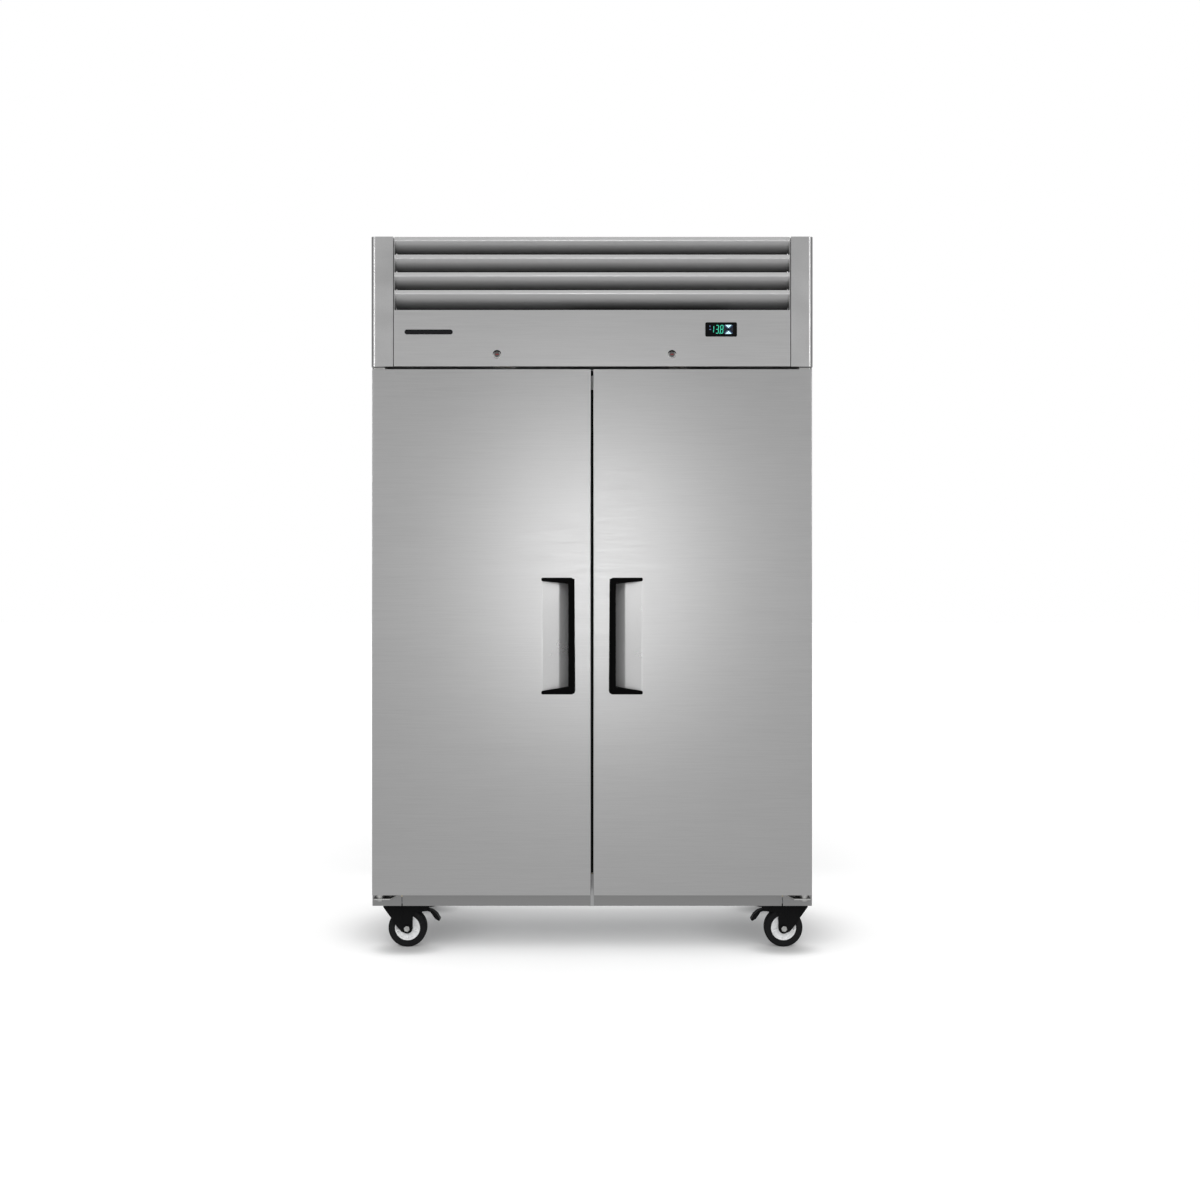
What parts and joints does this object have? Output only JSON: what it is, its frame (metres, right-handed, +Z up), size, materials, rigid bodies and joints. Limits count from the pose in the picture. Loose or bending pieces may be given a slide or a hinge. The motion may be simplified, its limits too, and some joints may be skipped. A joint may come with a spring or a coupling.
{
  "type": "reach-in refrigerator",
  "caption": "Upright stainless commercial refrigerator on castors with side-by-side solid doors, pocket handles and a louvred header that houses the condensing unit.",
  "frame": {"origin": "on the floor, under the middle of the overall bounding box", "axes": "+X to the right of someone facing the doors, +Y away from them towards the back panel, +Z up"},
  "size_m": [1.216, 0.7472, 1.9585],
  "materials": {
    "outer_steel": "brushed satin stainless",
    "galvanised": "dull galvanised sheet",
    "inner_steel": "smooth satin stainless",
    "foam": "closed-cell foam",
    "wire": "plastic-coated wire",
    "fins": "mill finish",
    "motor": "satin",
    "compressor_black": "satin",
    "copper": "bare copper",
    "control_box": "satin",
    "plated": "zinc or nickel plated",
    "bush": "plain",
    "seal": "flexible, magnetic core",
    "handle_black": "fine grained",
    "controller_black": "satin",
    "key_blue": "printed",
    "fan_black": "plain",
    "fork_black": "powder coated",
    "wheel_grey": "moulded",
    "tyre_black": "moulded rubber"
  },
  "bodies": {
    "cabinet": {"side_panel_left": "outer_steel", "side_panel_right": "outer_steel", "back_panel": "galvanised", "base_frame": "galvanised", "front_frame": "outer_steel", "cabinet_insulation": "foam", "inner_liner": "inner_steel", "mullion": "inner_steel", "shelf_supports": "inner_steel", "wire_shelves": "wire", "evaporator_coil": "fins", "evaporator_cover": "inner_steel", "fan_motors": "motor", "compressor": "compressor_black", "condenser_coil": "fins", "unit_frame": "galvanised", "refrigerant_pipes": "copper", "electrical_box": "control_box", "hinge_brackets": "plated", "hinge_pins": "plated", "castor_plates": "plated"},
    "left_door": {"door_skin_left": "outer_steel", "door_core_left": "foam", "door_liner_left": "inner_steel", "door_gasket_left": "seal", "handle_frame_left": "handle_black", "handle_plate_left": "plated", "hinge_bushes_left": "bush"},
    "right_door": {"door_skin_right": "outer_steel", "door_core_right": "foam", "door_liner_right": "inner_steel", "door_gasket_right": "seal", "handle_frame_right": "handle_black", "handle_plate_right": "plated", "hinge_bushes_right": "bush"},
    "service_panel": {"header_fascia": "outer_steel", "louvre_blades": "outer_steel", "controller_case": "controller_black", "lock_bodies": "plated"},
    "key_up": {"key_up": "key_blue"},
    "key_down": {"key_down": "key_blue"},
    "left_lock": {"lock_plug_left": "plated"},
    "right_lock": {"lock_plug_right": "plated"},
    "left_evaporator_fan": {"evaporator_fan_left": "fan_black"},
    "right_evaporator_fan": {"evaporator_fan_right": "fan_black"},
    "condenser_fan": {"condenser_fan": "fan_black"},
    "front_left_castor": {"castor_fork_front_left": "fork_black"},
    "front_left_wheel": {"castor_hub_front_left": "wheel_grey", "castor_tyre_front_left": "tyre_black"},
    "front_right_castor": {"castor_fork_front_right": "fork_black"},
    "front_right_wheel": {"castor_hub_front_right": "wheel_grey", "castor_tyre_front_right": "tyre_black"},
    "rear_left_castor": {"castor_fork_rear_left": "fork_black"},
    "rear_left_wheel": {"castor_hub_rear_left": "wheel_grey", "castor_tyre_rear_left": "tyre_black"},
    "rear_right_castor": {"castor_fork_rear_right": "fork_black"},
    "rear_right_wheel": {"castor_hub_rear_right": "wheel_grey", "castor_tyre_rear_right": "tyre_black"},
    "left_brake": {"brake_pedal_left": "fork_black"},
    "right_brake": {"brake_pedal_right": "fork_black"}
  },
  "joints": [
    {"name": "left_door_hinge", "type": "hinge", "parent": "cabinet", "child": "left_door", "pos_m": [-0.58, -0.345, 0.9], "axis": [0, 0, -1], "range_deg": [0, 110], "stiffness_Nm_per_rad": 1.5, "springref_deg": -11.46},
    {"name": "right_door_hinge", "type": "hinge", "parent": "cabinet", "child": "right_door", "pos_m": [0.58, -0.345, 0.9], "axis": [0, 0, 1], "range_deg": [0, 110], "stiffness_Nm_per_rad": 1.5, "springref_deg": -11.46},
    {"name": "service_panel_hinge", "type": "hinge", "parent": "cabinet", "child": "service_panel", "pos_m": [0, -0.352, 1.948], "axis": [-1, 0, 0], "range_deg": [0, 70]},
    {"name": "left_lock_turn", "type": "hinge", "parent": "service_panel", "child": "left_lock", "pos_m": [-0.2583, -0.36, 1.6383], "axis": [0, 1, 0], "range_deg": [0, 90]},
    {"name": "right_lock_turn", "type": "hinge", "parent": "service_panel", "child": "right_lock", "pos_m": [0.2173, -0.36, 1.6383], "axis": [0, 1, 0], "range_deg": [0, 90]},
    {"name": "key_up_press", "type": "slide", "parent": "service_panel", "child": "key_up", "axis": [0, 1, 0], "range_m": [0, 0.0006], "stiffness_N_per_m": 400, "springref_m": -0.0005},
    {"name": "key_down_press", "type": "slide", "parent": "service_panel", "child": "key_down", "axis": [0, 1, 0], "range_m": [0, 0.0006], "stiffness_N_per_m": 400, "springref_m": -0.0005},
    {"name": "left_evaporator_fan_spin", "type": "hinge", "parent": "cabinet", "child": "left_evaporator_fan", "pos_m": [-0.25, 0.11, 1.44], "axis": [0, 0, 1], "continuous": true},
    {"name": "right_evaporator_fan_spin", "type": "hinge", "parent": "cabinet", "child": "right_evaporator_fan", "pos_m": [0.25, 0.11, 1.44], "axis": [0, 0, 1], "continuous": true},
    {"name": "condenser_fan_spin", "type": "hinge", "parent": "cabinet", "child": "condenser_fan", "pos_m": [0.16, -0.135, 1.76], "axis": [0, 1, 0], "continuous": true},
    {"name": "front_left_swivel", "type": "hinge", "parent": "cabinet", "child": "front_left_castor", "pos_m": [-0.543, -0.236, 0.11], "axis": [0, 0, 1], "continuous": true},
    {"name": "front_left_roll", "type": "hinge", "parent": "front_left_castor", "child": "front_left_wheel", "pos_m": [-0.517, -0.236, 0.0536], "axis": [0, 1, 0], "continuous": true},
    {"name": "front_right_swivel", "type": "hinge", "parent": "cabinet", "child": "front_right_castor", "pos_m": [0.561, -0.236, 0.11], "axis": [0, 0, 1], "continuous": true},
    {"name": "front_right_roll", "type": "hinge", "parent": "front_right_castor", "child": "front_right_wheel", "pos_m": [0.535, -0.236, 0.0536], "axis": [0, 1, 0], "continuous": true},
    {"name": "rear_left_swivel", "type": "hinge", "parent": "cabinet", "child": "rear_left_castor", "pos_m": [-0.543, 0.311, 0.11], "axis": [0, 0, 1], "continuous": true},
    {"name": "rear_left_roll", "type": "hinge", "parent": "rear_left_castor", "child": "rear_left_wheel", "pos_m": [-0.517, 0.311, 0.0536], "axis": [0, 1, 0], "continuous": true},
    {"name": "rear_right_swivel", "type": "hinge", "parent": "cabinet", "child": "rear_right_castor", "pos_m": [0.561, 0.311, 0.11], "axis": [0, 0, 1], "continuous": true},
    {"name": "rear_right_roll", "type": "hinge", "parent": "rear_right_castor", "child": "rear_right_wheel", "pos_m": [0.535, 0.311, 0.0536], "axis": [0, 1, 0], "continuous": true},
    {"name": "left_brake_press", "type": "hinge", "parent": "front_left_castor", "child": "left_brake", "pos_m": [-0.4805, -0.236, 0.1056], "axis": [0, 1, 0], "range_deg": [0, 10]},
    {"name": "right_brake_press", "type": "hinge", "parent": "front_right_castor", "child": "right_brake", "pos_m": [0.4985, -0.236, 0.1056], "axis": [0, -1, 0], "range_deg": [0, 10]}
  ]
}
